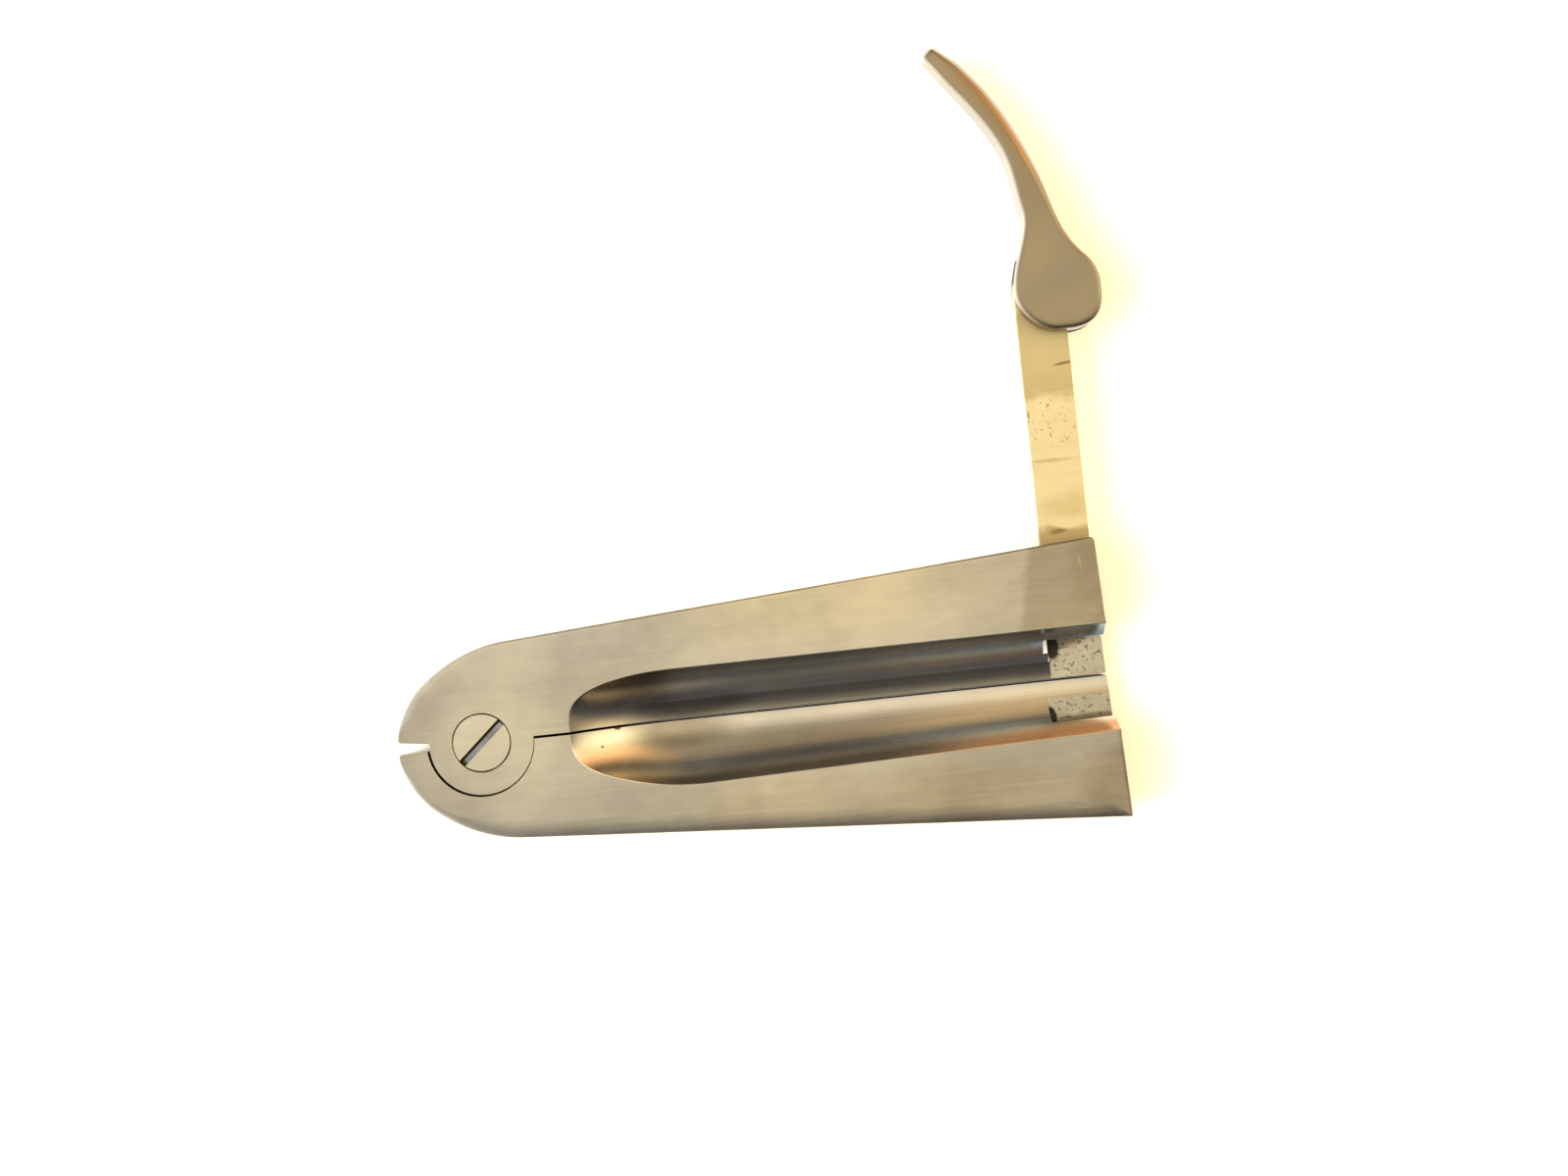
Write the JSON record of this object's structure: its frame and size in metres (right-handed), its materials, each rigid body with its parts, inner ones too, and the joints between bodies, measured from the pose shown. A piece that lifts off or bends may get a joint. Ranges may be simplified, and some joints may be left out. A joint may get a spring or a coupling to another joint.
{
  "type": "hinged surgical clamp",
  "caption": "Hinged stainless clamp with tapered grooved jaws on a slotted screw, and a swinging strap with a forked cam lever that closes the open end.",
  "frame": {"origin": "on the jaws' hinge axis, at the back face", "axes": "+X along the parting line towards the open end, +Y towards the upper jaw and the swung-out strap, +Z out of the grooved front"},
  "size_m": [0.0789, 0.0835, 0.007],
  "materials": {
    "jaw_steel": "satin stainless steel, brushed lengthwise",
    "screw_steel": "turned stainless steel, flush and satin",
    "strap_steel": "ground stainless steel, brushed crosswise",
    "pin_steel": "plain stainless steel pin",
    "lever_steel": "polished stainless steel, slightly worn"
  },
  "bodies": {
    "lower_jaw": {"lower_jaw": "jaw_steel", "hinge_screw": "screw_steel"},
    "upper_jaw": {"upper_jaw": "jaw_steel", "strap_pin": "pin_steel"},
    "strap": {"strap": "strap_steel"},
    "lever": {"lever": "lever_steel", "lever_pin": "pin_steel"}
  },
  "joints": [
    {"name": "jaw_hinge", "type": "hinge", "parent": "lower_jaw", "child": "upper_jaw", "pos_m": [0, 0, 0.0035], "axis": [0, 0, 1], "range_deg": [0, 2.5]},
    {"name": "strap_swing", "type": "hinge", "parent": "upper_jaw", "child": "strap", "pos_m": [0.0637, 0.00865, 0.0035], "axis": [0, 0, -1], "range_deg": [0, 180]},
    {"name": "lever_cam", "type": "hinge", "parent": "strap", "child": "lever", "pos_m": [0.0637, 0.04161, 0.0035], "axis": [0, 0, -1], "range_deg": [0, 95]}
  ]
}
